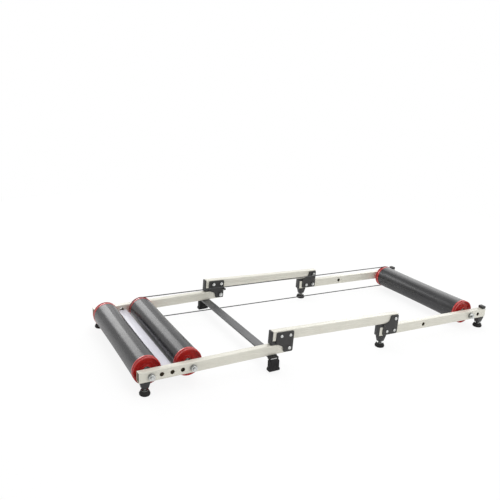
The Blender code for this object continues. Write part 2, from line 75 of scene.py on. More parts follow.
outwardTurn = {side: Matrix.Rotation(math.radians(-90 * sign), 4, "X") for side, sign in sideSigns.items()}
print("frame loaded:", len(frame["nodes"]), "nodes")

# Camera, at the photograph's place

cameraSettings = {
    "place": (-1.0753, -1.5122, 0.8156), "yaw": 0.4592, "pitch": 0.2677, "roll": 0.0436,
    "lens": 41.56, "sensor": 36.0, "shift": (0.0758, -0.0298), "clip": (0.05, 60.0),
}


def makeCamera(s):
    data = bpy.data.cameras.new("photoCamera")
    data.lens = s["lens"]
    data.sensor_width = s["sensor"]
    data.shift_x, data.shift_y = s["shift"]
    data.clip_start, data.clip_end = s["clip"]
    ahead = Vector((math.sin(s["yaw"]) * math.cos(s["pitch"]),
                    math.cos(s["yaw"]) * math.cos(s["pitch"]), -math.sin(s["pitch"])))
    right = Vector((math.cos(s["yaw"]), -math.sin(s["yaw"]), 0))
    up = right.cross(ahead)
    axes = (math.cos(s["roll"]) * right + math.sin(s["roll"]) * up,
            -math.sin(s["roll"]) * right + math.cos(s["roll"]) * up, -ahead)
    camera = bpy.data.objects.new("photoCamera", data)
    camera.matrix_world = shift(s["place"]) @ Matrix(axes).transposed().to_4x4()
    scene.collection.objects.link(camera)
    scene.camera = camera


makeCamera(cameraSettings)

# Node helpers


def put(tree, kind, links=None, **values):  # adds a node, links or sets its inputs, gives its outputs
    node = tree.nodes.new(kind)
    for name, value in values.items():
        setattr(node, name, value)
    for name, value in (links or {}).items():
        if hasattr(value, "is_output"):
            tree.links.new(value, node.inputs[name])
        else:
            node.inputs[name].default_value = value
    return node.outputs


def calc(tree, operation, a, b=0.0, clamp=False):
    return put(tree, "ShaderNodeMath", {0: a, 1: b}, operation=operation, use_clamp=clamp)[0]


def times(tree, a, b, clamp=False):
    return calc(tree, "MULTIPLY", a, b, clamp)


def stretch(tree, value, low, high, toLow=0.0, toHigh=1.0):
    return put(tree, "ShaderNodeMapRange", {"Value": value, "From Min": low, "From Max": high,
                                            "To Min": toLow, "To Max": toHigh})["Result"]


def coats(tree, base, *layers):  # colours laid over a base, each through its mask
    for mask, colour in layers:
        under, over = ((*each, 1.0) if isinstance(each, tuple) else each for each in (base, colour))
        base = put(tree, "ShaderNodeMix", {0: mask, 6: under, 7: over}, data_type="RGBA")[2]
    return base


def noise(tree, vector, scale, detail, roughness=0.5, *spread):  # spread: limits for stretch
    level = put(tree, "ShaderNodeTexNoise", {"Vector": vector, "Scale": scale, "Detail": detail,
                                             "Roughness": roughness})["Fac"]
    return stretch(tree, level, *spread) if spread else level


def streaks(tree, vector, thin, *values):  # noise drawn out along the axes where thin is small
    drawn = put(tree, "ShaderNodeMapping", {"Vector": vector, "Scale": thin})["Vector"]
    return noise(tree, drawn, 1.0, *values)


def sideways(tree, vector):  # how far it goes across the trainer, to either side
    return calc(tree, "ABSOLUTE", put(tree, "ShaderNodeSeparateXYZ", {0: vector})["Y"])


def newGroup(name, inputs, outputs):  # an input without a value is a vector
    tree = bpy.data.node_groups.new(name, "ShaderNodeTree")
    for label, value in inputs.items():
        kind = "NodeSocketVector" if value is None else "NodeSocketFloat"
        socket = tree.interface.new_socket(name=label, in_out="INPUT", socket_type=kind)
        if value is not None:
            socket.default_value = value
    for label in outputs:
        tree.interface.new_socket(name=label, in_out="OUTPUT", socket_type="NodeSocketFloat")
    given = tree.nodes.new("NodeGroupInput").outputs[:len(inputs)]
    return tree, tree.nodes.new("NodeGroupOutput").inputs, *given


def use(tree, group, *values):  # a group's outputs, with values for its inputs in their order
    return put(tree, "ShaderNodeGroup", dict(enumerate(values)), node_tree=group)


# Shader groups that several finishes share

grainSettings = {"fineDetail": 2.0, "coarseDetail": 3.0, "coarseScale": 0.23}
toneSettings = {"cloud": (4.0, 0.6, 0.3, 0.7), "specks": (3.0, 0.7, 0.66, 0.74)}
wearSettings = {"samples": 6, "edge": (0.995, 0.80), "broken": (4.0, 0.65, 0.42, 0.66)}
hairlineSettings = {
    "line": (2.0, 0.4, 0.66, 0.78),
    "ways": (((0.4, 0.2, 0.9), (1, 14, 1)), ((1.1, 0.7, 0.1), (14, 1, 1)), ((0.2, 1.3, 2.0), (1, 1, 18))),
}
dustSettings = {"flat": (0.2, 1.0), "patchy": (70.0, 5.0, 0.7, 0.35, 0.75)}
# ambient occlusion turned into painted shade in corners and holes
creviceShadeSettings = {"samples": 8, "shut": (0.85, 0.35), "broken": (260.0, 4.0, 0.7, 0.25, 0.65, 0.45, 1.0)}


def grainGroup(s):  # fine relief in two sizes: orange peel in paint, or the skin of a moulding
    inputs = {"Vector": None, "Scale": 900.0, "Coarse Share": 0.4}
    tree, result, vector, scale, share = newGroup("surfaceGrain", inputs, ["Height"])
    fine = noise(tree, vector, scale, s["fineDetail"])
    coarse = noise(tree, vector, times(tree, scale, s["coarseScale"]), s["coarseDetail"])
    tree.links.new(put(tree, "ShaderNodeMix", {0: share, 2: fine, 3: coarse})[0], result["Height"])
    return tree


def toneGroup(s):  # slow, cloudy changes of tone, and small specks
    inputs = {"Vector": None, "Scale": 9.0, "Speck Scale": 260.0}
    tree, result, vector, scale, speckScale = newGroup("cloudyTone", inputs, ["Cloud", "Specks"])
    tree.links.new(noise(tree, vector, scale, *s["cloud"]), result["Cloud"])
    tree.links.new(noise(tree, vector, speckScale, *s["specks"]), result["Specks"])
    return tree


def maskGroup(tree, result, where, broken, amount):  # a place, broken up, at the amount asked for
    tree.links.new(times(tree, times(tree, where, broken), amount, True), result["Mask"])
    return tree


def wearGroup(s):  # edges where the finish is rubbed thin, broken up by noise
    inputs = {"Vector": None, "Radius": 0.0006, "Breakup": 140.0, "Amount": 0.5}
    tree, result, vector, radius, breakup, amount = newGroup("edgeWear", inputs, ["Mask"])
    rounded = put(tree, "ShaderNodeBevel", {"Radius": radius}, samples=s["samples"])["Normal"]
    plain = put(tree, "ShaderNodeNewGeometry")["Normal"]
    facing = put(tree, "ShaderNodeVectorMath", {0: rounded, 1: plain}, operation="DOT_PRODUCT")["Value"]
    broken = noise(tree, vector, breakup, *s["broken"])
    return maskGroup(tree, result, stretch(tree, facing, *s["edge"]), broken, amount)


def hairlineGroup(s):  # hairline marks in three directions on handled metal
    tree, result, vector, scale = newGroup("hairlines", {"Vector": None, "Scale": 60.0}, ["Mask"])
    total = 0.0
    for turn, thin in s["ways"]:
        mapped = put(tree, "ShaderNodeMapping", {"Vector": vector, "Rotation": turn, "Scale": thin})
        total = calc(tree, "MAXIMUM", total, noise(tree, mapped["Vector"], scale, *s["line"]))
    tree.links.new(total, result["Mask"])
    return tree


def dustGroup(s):  # pale dust that settles on what faces up
    inputs = {"Vector": None, "Normal": None, "Amount": 0.3}
    tree, result, vector, normal, amount = newGroup("settledDust", inputs, ["Mask"])
    up = put(tree, "ShaderNodeSeparateXYZ", {0: normal})["Z"]
    return maskGroup(tree, result, stretch(tree, up, *s["flat"]), noise(tree, vector, *s["patchy"]), amount)


def creviceShadeGroup(s):  # painted shade in corners, seats and drilled holes of one piece, from ambient occlusion broken up by noise
    inputs = {"Vector": None, "Reach": 0.004, "Amount": 0.6}
    tree, result, vector, reach, amount = newGroup("paintedCreviceShade", inputs, ["Mask"])
    # the occlusion mask is painted shade, broken up by noise
    around = put(tree, "ShaderNodeAmbientOcclusion", {"Distance": reach}, samples=s["samples"],
                 only_local=True)
    broken = noise(tree, vector, *s["broken"])
    return maskGroup(tree, result, stretch(tree, around["AO"], *s["shut"]), broken, amount)


grain = grainGroup(grainSettings)
tone = toneGroup(toneSettings)
wear = wearGroup(wearSettings)
hairlines = hairlineGroup(hairlineSettings)
dust = dustGroup(dustSettings)
creviceShade = creviceShadeGroup(creviceShadeSettings)

# Finishes, one for each material. Their tone, crevice shade, wear and grain are what those groups are given

looks = {}


def newMaterial(name, values):
    material = bpy.data.materials.new(name)
    material.use_nodes = True
    for socket, value in values.items():
        material.node_tree.nodes["Principled BSDF"].inputs[socket].default_value = value
    return material


def newLook(name, s):
    looks[name] = newMaterial(name, s["shader"])
    tree = looks[name].node_tree
    vector = put(tree, "ShaderNodeTexCoord")["Object"]
    return tree, vector, *use(tree, tone, vector, *s["tone"])


def finishLook(tree, s, base, uneven, height, top=1.0):
    shader = tree.nodes["Principled BSDF"].inputs
    tree.links.new(base, shader["Base Color"])
    tree.links.new(stretch(tree, uneven, 0.0, top, *s["roughness"]), shader["Roughness"])
    bump = put(tree, "ShaderNodeBump", {"Height": height, "Distance": s["depth"]})["Normal"]
    tree.links.new(bump, shader["Normal"])


creamSettings = {
    "shader": {"Coat Weight": 0.25, "Coat Roughness": 0.18}, "roughness": (0.30, 0.40),
    "colour": (0.685, 0.669, 0.590), "shade": (0.65, 0.634, 0.553), "under": (0.34, 0.325, 0.30),
    # The colour inside the tube is bare steel and also painted shade seen through the holes.
    # The colour laid in crevices is painted shade.
    "bareAndShade": (0.36, 0.31, 0.21), "paintedShade": (0.30, 0.27, 0.22), "tone": (16.0, 420.0), "speckShare": 0.25,
    "creviceShade": (0.003, 0.35), "wear": (0.0005, 180.0, 0.5), "grain": (560.0, 0.6), "depth": 0.00003,
}


def creamPaint(name, s):  # powder coat outside; inside the tube a darker colour, partly bare oiled steel and partly painted shade for the holes
    tree, vector, cloud, specks = newLook(name, s)
    # inside the tube: bare steel colour, dark enough to paint the shade seen through the holes
    inside = put(tree, "ShaderNodeAttribute", attribute_name="tubeInside")["Fac"]
    # painted shade in crevices, laid before the wear and the inside colour
    base = coats(tree, s["colour"], (cloud, s["shade"]), (times(tree, specks, s["speckShare"]), s["shade"]),
                 (use(tree, creviceShade, vector, *s["creviceShade"])[0], s["paintedShade"]),
                 (use(tree, wear, vector, *s["wear"])[0], s["under"]), (inside, s["bareAndShade"]))
    finishLook(tree, s, base, cloud, use(tree, grain, vector, *s["grain"])[0])


drumLookSettings = {
    "shader": {"Specular IOR Level": 0.45}, "roughness": (0.24, 0.31), "roughTop": 1.3,
    "colour": (0.017, 0.017, 0.0185), "light": (0.026, 0.026, 0.028), "rub": (0.080, 0.080, 0.085),
    "middleDark": (0.012, 0.012, 0.013), "middleFade": (0.055, 0.01375), "middleSmooth": 0.4,
    "tone": (11.0, 520.0), "speckHeight": 0.6, "wear": (0.0007, 220.0, 0.6), "depth": 0.000007,
    "rings": ((1.5, 900.0, 1.5), 3.0, 0.6), "ringShare": (0.35, 0.85, 0.0, 0.25),
    "band": ((9.0, 240.0, 9.0), 4.0, 0.6, 0.35, 0.65, 0.25, 0.9),
    "scuff": ((260.0, 9.0, 260.0), 4.0, 0.7, 0.62, 0.80, 0.0, 0.16),
}


def charcoalPlastic(name, s):  # skimmed: rings run round it, scuffs along it, and its middle is darker and smoother
    tree, vector, cloud, specks = newLook(name, s)
    rings = streaks(tree, vector, *s["rings"])
    # a darker, smoother band in the middle of the drum
    fade = stretch(tree, sideways(tree, vector), *s["middleFade"])
    middleDark = times(tree, fade, streaks(tree, vector, *s["band"]))
    scuffs = streaks(tree, vector, *s["scuff"])
    rubbed = calc(tree, "MAXIMUM", scuffs, use(tree, wear, vector, *s["wear"])[0])
    base = coats(tree, s["colour"], (cloud, s["light"]), (stretch(tree, rings, *s["ringShare"]), s["light"]),
                 (middleDark, s["middleDark"]), (rubbed, s["rub"]))
    uneven = calc(tree, "SUBTRACT", calc(tree, "ADD", cloud, scuffs), times(tree, middleDark, s["middleSmooth"]))
    height = calc(tree, "ADD", rings, times(tree, specks, s["speckHeight"]))
    finishLook(tree, s, base, uneven, height, s["roughTop"])


capLookSettings = {
    "shader": {"Coat Weight": 0.35, "Coat Roughness": 0.09}, "roughness": (0.17, 0.27),
    "colour": (0.54, 0.024, 0.021), "deep": (0.40, 0.015, 0.012), "rub": (0.72, 0.22, 0.19),
    # The colour laid in crevices is painted shade.
    "paintedShade": (0.050, 0.010, 0.009), "tone": (28.0, 700.0), "creviceShade": (0.006, 0.75),
    "flow": ((22.0, 160.0, 22.0), 3.0, 0.6, 0.50, 0.90, 0.0, 0.4), "wear": (0.0006, 120.0, 0.35),
    "grain": (1200.0, 0.35), "depth": 0.000008,
}


def redPlastic(name, s):  # moulded, with faint flow marks, and painted shade in its corners
    tree, vector, cloud, _ = newLook(name, s)
    # painted shade in the corners, then wear
    base = coats(tree, s["colour"], (cloud, s["deep"]), (streaks(tree, vector, *s["flow"]), s["deep"]),
                 (use(tree, creviceShade, vector, *s["creviceShade"])[0], s["paintedShade"]),
                 (use(tree, wear, vector, *s["wear"])[0], s["rub"]))
    finishLook(tree, s, base, cloud, use(tree, grain, vector, *s["grain"])[0])


darkLookSettings = {
    "black_steel": {
        "shader": {"Metallic": 0.15}, "roughness": (0.42, 0.60),
        "colour": (0.021, 0.0205, 0.020), "light": (0.037, 0.036, 0.0355), "rub": (0.18, 0.175, 0.17),
        "tone": (34.0, 900.0), "speckShare": 0.35, "wear": (0.0006, 190.0, 0.75),
        "dust": 0.10, "dustColour": (0.24, 0.235, 0.22), "grain": (1500.0, 0.45), "depth": 0.00009,
    },
    "black_plastic": {
        "shader": {}, "roughness": (0.46, 0.62),
        "colour": (0.017, 0.017, 0.018), "light": (0.029, 0.029, 0.030), "rub": (0.10, 0.10, 0.10),
        "tone": (45.0, 1100.0), "speckShare": 0.15, "wear": (0.0006, 260.0, 0.55),
        "dust": 0.16, "dustColour": (0.26, 0.25, 0.235), "grain": (1900.0, 0.3), "depth": 0.00006,
    },
    "black_rubber": {
        "shader": {"Specular IOR Level": 0.28}, "roughness": (0.58, 0.80),
        "colour": (0.008, 0.008, 0.008), "light": (0.0155, 0.015, 0.0147), "rub": (0.085, 0.085, 0.083),
        "tone": (60.0, 800.0), "speckShare": 0.30, "wear": (0.0006, 300.0, 0.5),
        "dust": 0.16, "dustColour": (0.16, 0.155, 0.145), "grain": (1300.0, 0.55), "depth": 0.00010,
    },
    "belt_rubber": {
        "shader": {"Specular IOR Level": 0.4}, "roughness": (0.55, 0.75),
        "colour": (0.034, 0.034, 0.036), "light": (0.060, 0.060, 0.062), "rub": (0.16, 0.16, 0.16),
        "tone": (24.0, 1500.0), "speckShare": 0.25, "wear": (0.0006, 400.0, 0.3),
        "dust": 0.22, "dustColour": (0.25, 0.24, 0.23), "grain": (2200.0, 0.4), "depth": 0.00005,
    },
}
dustDulls = 2.0


def darkFinish(name, s):  # powder coat, moulded plastic and rubber differ in values only
    tree, vector, cloud, specks = newLook(name, s)
    normal = put(tree, "ShaderNodeTexCoord")["Normal"]
    settled = use(tree, dust, vector, normal, s["dust"])[0]
    base = coats(tree, s["colour"], (cloud, s["light"]), (times(tree, specks, s["speckShare"]), s["rub"]),
                 (use(tree, wear, vector, *s["wear"])[0], s["rub"]), (settled, s["dustColour"]))
    uneven = calc(tree, "ADD", cloud, times(tree, settled, dustDulls), True)
    finishLook(tree, s, base, uneven, use(tree, grain, vector, *s["grain"])[0])


barLookSettings = {
    "grey_steel": {
        "shader": {"Metallic": 0.25, "Coat Weight": 0.1, "Coat Roughness": 0.3}, "roughness": (0.36, 0.52),
        "colour": (0.074, 0.075, 0.077), "line": (0.116, 0.117, 0.120), "rub": (0.26, 0.26, 0.26),
        "sawn": (0.80, 0.80, 0.80), "sawnPast": 0.2506, "depth": 0.00004,
    },
    "pale_steel": {
        "shader": {"Metallic": 0.1, "Coat Weight": 0.1, "Coat Roughness": 0.3}, "roughness": (0.32, 0.46),
        "colour": (0.66, 0.65, 0.71), "line": (0.58, 0.575, 0.63), "rub": (0.42, 0.42, 0.44),
        "sawn": (0.60, 0.60, 0.62), "sawnPast": 0.2152, "depth": 0.00002,
    },
}
bothBars = {
    "tone": (14.0, 600.0), "cloudShare": 0.35, "speckShare": 0.3, "sawnMetallic": (0.3, 0.3, 0.3),
    "lines": ((420.0, 2.5, 420.0), 4.0, 0.65), "lineShare": (0.38, 0.66), "wear": (0.0006, 170.0, 0.7),
}


def rolledSteel(name, s):  # flat bar with mill lines along it, which is across the trainer, and sawn ends
    tree, vector, cloud, specks = newLook(name, s)
    lines = streaks(tree, vector, *s["lines"])
    rubbed = calc(tree, "MAXIMUM", use(tree, wear, vector, *s["wear"])[0],
                  times(tree, specks, s["speckShare"]))
    sawn = calc(tree, "GREATER_THAN", sideways(tree, vector), s["sawnPast"])
    base = coats(tree, s["colour"], (stretch(tree, lines, *s["lineShare"]), s["line"]),
                 (times(tree, cloud, s["cloudShare"]), s["colour"]), (rubbed, s["rub"]), (sawn, s["sawn"]))
    metallic = coats(tree, (s["shader"]["Metallic"],) * 3, (sawn, s["sawnMetallic"]))
    tree.links.new(metallic, tree.nodes["Principled BSDF"].inputs["Metallic"])
    finishLook(tree, s, base, cloud, lines)


zincLookSettings = {
    "shader": {"Metallic": 1.0}, "roughness": (0.16, 0.32),
    "colour": (0.67, 0.68, 0.67), "cloud": (0.51, 0.52, 0.51), "line": (0.36, 0.36, 0.36),
    # The colour on flanks and in crevices is painted shade.
    "paintedShade": (0.060, 0.062, 0.056), "tone": (120.0, 900.0), "marks": 90.0, "lineShare": 0.5,
    "roughShares": (0.6, 0.4), "flankShade": (0.90, 0.35, 0.0, 0.5), "creviceShade": (0.006, 1.0), "depth": 0.000015,
}


def brightZinc(name, s):  # faces that look along Y keep the bright zinc; flanks and corners get painted shade
    tree, vector, cloud, _ = newLook(name, s)
    marks = use(tree, hairlines, vector, s["marks"])[0]
    normal = put(tree, "ShaderNodeTexCoord")["Normal"]
    # painted shade on faces that do not look along Y
    flankShade = stretch(tree, sideways(tree, normal), *s["flankShade"])
    paintedShade = calc(tree, "MAXIMUM", flankShade, use(tree, creviceShade, vector, *s["creviceShade"])[0])
    base = coats(tree, s["colour"], (cloud, s["cloud"]), (times(tree, marks, s["lineShare"]), s["line"]),
                 (paintedShade, s["paintedShade"]))
    cloudShare, markShare = s["roughShares"]
    uneven = calc(tree, "ADD", times(tree, cloud, cloudShare), times(tree, marks, markShare))
    finishLook(tree, s, base, uneven, calc(tree, "SUBTRACT", cloud, marks))


creamPaint("cream_paint", creamSettings)
charcoalPlastic("charcoal_plastic", drumLookSettings)
redPlastic("red_plastic", capLookSettings)
for name, s in darkLookSettings.items():
    darkFinish(name, s)
for name, s in barLookSettings.items():
    rolledSteel(name, {**bothBars, **s})
brightZinc("bright_zinc", zincLookSettings)
print("finishes made:", len(looks))

# Mesh helpers

mergeWithin, cutMergeWithin = 0.000001, 0.000002


def turned(profile, steps, ring=True):  # (radius, height) points spun about Z
    shape = bmesh.new()
    spots = [shape.verts.new((radius, 0, height)) for radius, height in profile]
    pairs = list(zip(spots, spots[1:]))
    if ring:
        pairs.append((spots[-1], spots[0]))
    edges = [shape.edges.new(pair) for pair in pairs]
    bmesh.ops.spin(shape, geom=spots + edges, cent=(0, 0, 0), axis=(0, 0, 1), angle=2 * math.pi, steps=steps,
                   use_merge=True)
    bmesh.ops.remove_doubles(shape, verts=shape.verts, dist=mergeWithin)
    bmesh.ops.recalc_face_normals(shape, faces=shape.faces)
    return shape


def bevel(shape, parts, width, segments, kind="EDGES", **limits):
    bmesh.ops.bevel(shape, geom=parts, offset=width, affect=kind, segments=segments, profile=0.5, material=-1,
                    **limits)


def soften(shape, width, segments=2, angle=30.0):  # rounds the edges that turn by more than the angle
    sharp = [edge for edge in shape.edges
             if len(edge.link_faces) == 2 and edge.calc_face_angle() > math.radians(angle)]
    bevel(shape, sharp, width, segments, clamp_overlap=True)
    return shape


def block(low, high, edge, foot=1.0):  # foot: the underside's size, as a share of the top's
    low, high = Vector(low), Vector(high)
    middle = (low + high) / 2
    shape = bmesh.new()
    bmesh.ops.create_cube(shape, size=1.0, matrix=Matrix.LocRotScale(middle, None, high - low))
    under = [corner for corner in shape.verts if corner.co.z < middle.z]
    bmesh.ops.scale(shape, vec=(foot, foot, 1), space=shift(-middle), verts=under)
    return soften(shape, edge, segments=3) if edge else shape


def rod(radius, low, high, spot=(0, 0), steps=32, turn=None):
    shape = bmesh.new()
    bmesh.ops.create_cone(shape, cap_ends=True, segments=steps, radius1=radius, radius2=radius,
                          depth=high - low, matrix=shift((*spot, (low + high) / 2)))
    if turn:
        shape.transform(turn)
    return shape


def flatFace(outline, depth):  # an outline in XZ, as the near face of a solid about the XZ plane
    shape = bmesh.new()
    shape.faces.new([shape.verts.new((x, -depth / 2, z)) for x, z in outline])
    return shape


def thicken(shape, depth):  # gives a flat face its depth along Y
    grown = bmesh.ops.extrude_face_region(shape, geom=shape.faces[:])["geom"]
    moved = [part for part in grown if isinstance(part, bmesh.types.BMVert)]
    bmesh.ops.translate(shape, vec=(0, depth, 0), verts=moved)
    bmesh.ops.recalc_face_normals(shape, faces=shape.faces)


def asObject(shape, name):
    mesh = bpy.data.meshes.new(name)
    shape.to_mesh(mesh)
    shape.free()
    item = bpy.data.objects.new(name, mesh)
    scene.collection.objects.link(item)
    return item


def evaluatedMesh(item):
    return bpy.data.meshes.new_from_object(item.evaluated_get(bpy.context.evaluated_depsgraph_get()))


def joined(shape, others, operation="UNION"):  # solids added to or cut out of a shape, as one closed mesh
    items = [asObject(each, "solid") for each in (shape, *others)]
    for other in items[1:]:
        change = items[0].modifiers.new("change", "BOOLEAN")
        change.operation = operation
        change.solver = "EXACT"
        change.object = other
    whole = bmesh.new()
    whole.from_mesh(evaluatedMesh(items[0]))
    for item in items:
        bpy.data.objects.remove(item, do_unlink=True)
    bmesh.ops.remove_doubles(whole, verts=whole.verts, dist=cutMergeWithin)
    return whole


def together(shapes):  # separate solids in one mesh
    whole = bmesh.new()
    for shape in shapes:
        mesh = bpy.data.meshes.new("solid")
        shape.to_mesh(mesh)
        shape.free()
        whole.from_mesh(mesh)
        bpy.data.meshes.remove(mesh)
    return whole


def dress(piece, look, smooth):
    piece.data.shade_smooth()
    piece.data.set_sharp_from_angle(angle=math.radians(smooth))
    piece.data.materials.append(looks[look])


def finishPiece(shape, node, ending, look, body, space, smooth=35.0, replaced=True):
    shape.transform(space)
    piece = asObject(shape, f"{node}_{ending}")
    dress(piece, look, smooth)
    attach(piece, body)
    if replaced:
        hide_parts(node)


# The three sections of the frame, each in its own coordinates: X along the rail from the hinge

railSide = 0.226  # from the trainer's middle to a rail's
sectionSettings = {
    "rear": {"joint": "rear_fold", "tilt": 1.335, "line": 0.0},
    "middle": {"joint": "rear_fold", "tilt": -1.3, "line": 0.040},
    "front": {"joint": "front_fold", "tilt": -0.42, "line": -0.040},
}
hingeSpace, railSpace = {}, {}
for section, s in sectionSettings.items():
    tilted = Matrix.Rotation(-math.radians(s["tilt"]), 4, "Y")
    hingeSpace[section] = shift(jointPlace[s["joint"]]) @ tilted
    for side, sign in sideSigns.items():
        railSpace[section, side] = hingeSpace[section] @ shift((0, sign * railSide, s["line"]))

# Rails: painted tube with drilled holes

railSettings = {
    "width": 0.020, "height": 0.030, "wall": 0.0015, "corner": 0.0024, "cornerSegments": 5, "rim": 0.00035,
    "insideMargin": 0.0002,
    "drills": {"axle": 0.0063, "pivot": 0.0043, "bolt": 0.0032, "neck": 0.0061, "bumper": 0.0038},
    "drillReach": {"neck": (-0.02, 0.0), "bumper": (0.0, 0.02)}, "across": (-0.02, 0.02), "acrossSteps": 40,
}
railRuns = {
    "rear": {"low": -0.4575, "high": 0.013,
             "holes": {"axle": [-0.424 + 0.030 * k for k in range(5)], "pivot": [0.0], "neck": [-0.439]}},
    "middle": {"low": -0.0567, "high": 0.413, "holes": {"pivot": [0.400], "bolt": [0.0, -0.030]}},
    "front": {"low": -0.0567, "high": 0.4225,
              "holes": {"axle": [0.130, 0.349, 0.3865], "bolt": [0.0, -0.030], "neck": [-0.041, 0.406],
                        "bumper": [0.415]}},
}


def railDrill(s, kind, x):  # necks and bumpers go in from below or above, the others right across
    reach = s["drillReach"].get(kind)
    if reach:
        return rod(s["drills"][kind], *reach, (x, 0))
    across = Matrix.Rotation(math.radians(90), 4, "X")
    return rod(s["drills"][kind], *s["across"], (x, 0), s["acrossSteps"], across)


def makeRail(s, run):
    half = Vector((0, s["width"] / 2, s["height"] / 2))
    shape = block((run["low"], -half.y, -half.z), (run["high"], half.y, half.z), 0)
    ends = [face for face in shape.faces if abs(face.normal.x) > 0.9]
    bmesh.ops.delete(shape, geom=ends, context="FACES_ONLY")
    corners = [edge for edge in shape.edges if abs(edge.verts[0].co.x - edge.verts[1].co.x) > half.z]
    bevel(shape, corners, s["corner"], s["cornerSegments"])
    bmesh.ops.recalc_face_normals(shape, faces=shape.faces)
    side = shape.faces[0]
    if side.normal.dot(side.calc_center_median() * Vector((0, 1, 1))) < 0:
        bmesh.ops.reverse_faces(shape, faces=shape.faces)
    bmesh.ops.solidify(shape, geom=shape.faces, thickness=s["wall"])
    drills = [railDrill(s, kind, x) for kind, places in run["holes"].items() for x in places]
    shape = soften(joined(shape, drills, "DIFFERENCE"), s["rim"], angle=50.0)
    inside = shape.faces.layers.float.new("tubeInside")
    deep = s["insideMargin"] - s["wall"]
    for face in shape.faces:
        spot = face.calc_center_median()
        face[inside] = float(abs(spot.y) < half.y + deep and abs(spot.z) < half.z + deep)
    return shape


for (section, side), space in railSpace.items():
    shape = makeRail(railSettings, railRuns[section])
    finishPiece(shape, f"{section}_rail_{side}", "painted", "cream_paint", section + "_frame", space)
print("rails made")

# Fasteners. A nut is a hexagon cut to a turned blank, which gives it its rounded corners

nutSettings = {"flat": 0.87, "proud": 0.0002, "edge": 0.00025, "steps": 48, "borePast": 0.01}
washerSettings = {"edge": 0.0003, "thinEdge": 0.25, "steps": 48}


def hexNut(radius, height, bore, crown, start=0.0, s=nutSettings):
    top = start + height
    shape = bmesh.new()
    bmesh.ops.create_cone(shape, cap_ends=True, segments=6, radius1=radius, radius2=radius, depth=height,
                          matrix=shift((0, 0, start + height / 2)))
    flat, wide = radius * s["flat"], radius + s["proud"]
    blank = turned([(0, top), (flat, top), (wide, top - crown), (wide, start + crown), (flat, start),
                    (0, start)], s["steps"], ring=False)
    shape = joined(shape, [blank], "INTERSECT")
    shape = joined(shape, [rod(bore, start - s["borePast"], top + s["borePast"])], "DIFFERENCE")
    return soften(shape, s["edge"], angle=20.0)


def washer(radius, bore, start, height, s=washerSettings):
    top = start + height
    shape = turned([(bore, top), (radius, top), (radius, start), (bore, start)], s["steps"])
    return soften(shape, min(s["edge"], height * s["thinEdge"]))


def threaded(radius, low, high, plain, pitch=0.00125, depth=0.00065):  # ridges from plain to high, bare below
    points = [(0, high), (radius - depth, high)]
    crest, root = pitch * 0.15, pitch * 0.6
    z = high - pitch / 2
    while z > plain + pitch:
        points += [(radius, z), (radius, z - crest), (radius - depth, z - root)]
        z -= pitch
    return points + [(radius, plain), (radius, low)]


# Hinges: pairs of plates with a pivot bolt and two fixing bolts. At the front they stand on their heads

plateSettings = {
    "thickness": 0.003, "back": 0.0465, "front": 0.0125, "bolted": 0.0520, "pivot": 0.0120,
    "neck": 0.0185, "throat": 0.017, "waist": (-0.0215, 0.006), "edge": 0.00055,
    "corners": (0.005, 0.005, 0.005, 0.0043, 0.0055, 0.0016), "cornerSegments": 8,
    "outside": 0.2363, "inside": 0.2157,
}
boltSettings = {
    "pivotHead": (0.0058, 0.0042), "fixingHead": (0.0052, 0.0036), "pivotNut": (0.0072, 0.0060),
    "fixingNut": (0.0062, 0.0046), "pivotShank": 0.0040, "fixingShank": 0.0029, "tip": 0.0020,
    "headEdge": 0.0006, "domeSteps": 9, "thread": (0.009, 0.0008, 0.0004), "steps": 40,
    "headGap": 0.0002, "nutGap": 0.0003, "bite": 0.0004, "crown": 0.0009,
    "places": (("pivot_bolt", 0, 0, "pivot"), ("fixing_bolt_a", 0, 0.040, "fixing"),
               ("fixing_bolt_b", -0.030, 0.040, "fixing")),
}
hingeSettings = {"rear": ("middle", 1), "front": ("front", -1)}


def hingePlate(s, up):
    outline = [(-s["back"], s["bolted"]), (s["front"], s["bolted"]), (s["front"], -s["pivot"]),
               (-s["neck"], -s["pivot"]), s["waist"], (-s["back"], s["throat"])]
    shape = flatFace([(x, up * z) for x, z in outline], s["thickness"])
    for spot, cut in zip(shape.verts[:], s["corners"]):
        bevel(shape, [spot], cut, s["cornerSegments"], "VERTICES")
    thicken(shape, s["thickness"])
    return soften(shape, s["edge"], segments=3, angle=60.0)


def domedBolt(s, kind, top, low):  # shank along Z from low up to the head's underside at top
    radius, height = s[kind + "Head"]
    shank = s[kind + "Shank"]
    dome = height - s["headEdge"]
    turns = [math.pi / 2 * k / s["domeSteps"] for k in range(s["domeSteps"] + 1)]
    arc = [(radius * math.sin(a), top + s["headEdge"] + dome * math.cos(a)) for a in turns]
    length, pitch, depth = s["thread"]
    screw = reversed(threaded(shank, -top, -low, -low - length, pitch, depth))
    return turned([*arc, (radius, top), (shank, top), *[(r, -z) for r, z in screw]], s["steps"], ring=False)


def makeHinge(end, side):
    section, up = hingeSettings[end]
    plate, s = plateSettings, boltSettings
    thickness, body, space = plate["thickness"], section + "_frame", hingeSpace[section]
    for face, y in (("outer", plate["outside"] + thickness / 2), ("inner", plate["inside"] - thickness / 2)):
        node = f"{end}_hinge_plate_{face}_{side}"
        finishPiece(hingePlate(plate, up), node, "coated", "black_steel", body,
                    space @ shift((0, sideSigns[side] * y, 0)))
    top = plate["outside"] + thickness + s["headGap"]
    nutFace = plate["inside"] - thickness - s["nutGap"]
    for label, x, z, kind in s["places"]:
        radius, height = s[kind + "Nut"]
        low = nutFace - height - s["tip"]
        nut = hexNut(radius, height, s[kind + "Shank"] - s["bite"], s["crown"], nutFace - height)
        finishPiece(together([domedBolt(s, kind, top, low), nut]), f"{end}_hinge_{label}_{side}", "plated",
                    "bright_zinc", body, space @ shift((x, 0, up * z)) @ outwardTurn[side],
                    replaced=kind == "pivot")


for end in hingeSettings:
    for side in sideSigns:
        makeHinge(end, side)
print("hinges made")

# Rollers: drum, two end caps and two bearings each

